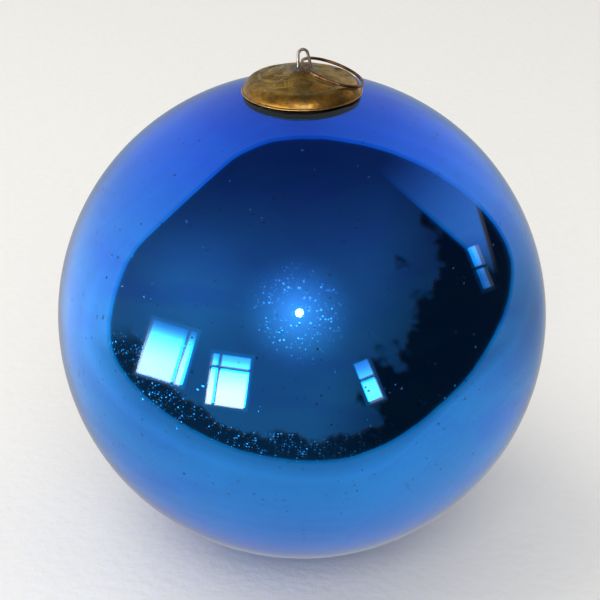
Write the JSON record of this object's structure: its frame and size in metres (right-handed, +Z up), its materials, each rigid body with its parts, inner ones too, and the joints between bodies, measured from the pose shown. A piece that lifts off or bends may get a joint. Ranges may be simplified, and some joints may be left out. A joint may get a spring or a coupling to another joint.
{
  "type": "glass ball ornament",
  "caption": "Large hanging ball ornament of thick blue glass silvered inside, with a pressed brass cap, a bent wire hanger that holds on under the glass, and a loose wire ring.",
  "frame": {"origin": "on the ball's axis, level with the inside of the hanger's arch, where a hook or the raised ring bears", "axes": "+Z up the ball's axis towards the cap; +X towards the side of the cap that the ring lies over; +Y completes the right hand, away from the viewer"},
  "size_m": [0.152, 0.152, 0.1633],
  "materials": {
    "blue_glass": "polished, with seeds and fine pits",
    "silvering": "mirror",
    "aged_brass": "tarnished, worn bright at the lip",
    "steel_wire": "dull drawn wire",
    "brown_wire": "browned, with bright spots"
  },
  "bodies": {
    "ball": {"glass_ball": "blue_glass", "silver_lining": "silvering"},
    "cap": {"brass_cap": "aged_brass"},
    "hanger": {"hanger_wire": "steel_wire"},
    "ring": {"hanging_ring": "brown_wire"}
  },
  "joints": [
    {"name": "cap_spin", "type": "hinge", "parent": "ball", "child": "cap", "pos_m": [0, 0, -0.01], "axis": [0, 0, 1], "continuous": true},
    {"name": "hanger_lift", "type": "slide", "parent": "cap", "child": "hanger", "axis": [0, 0, 1], "range_m": [0, 0.003]},
    {"name": "ring_swing", "type": "hinge", "parent": "hanger", "child": "ring", "pos_m": [0.00006, 0, -0.0036], "axis": [0.0523, -0.9986, 0], "range_deg": [0, 218]}
  ]
}
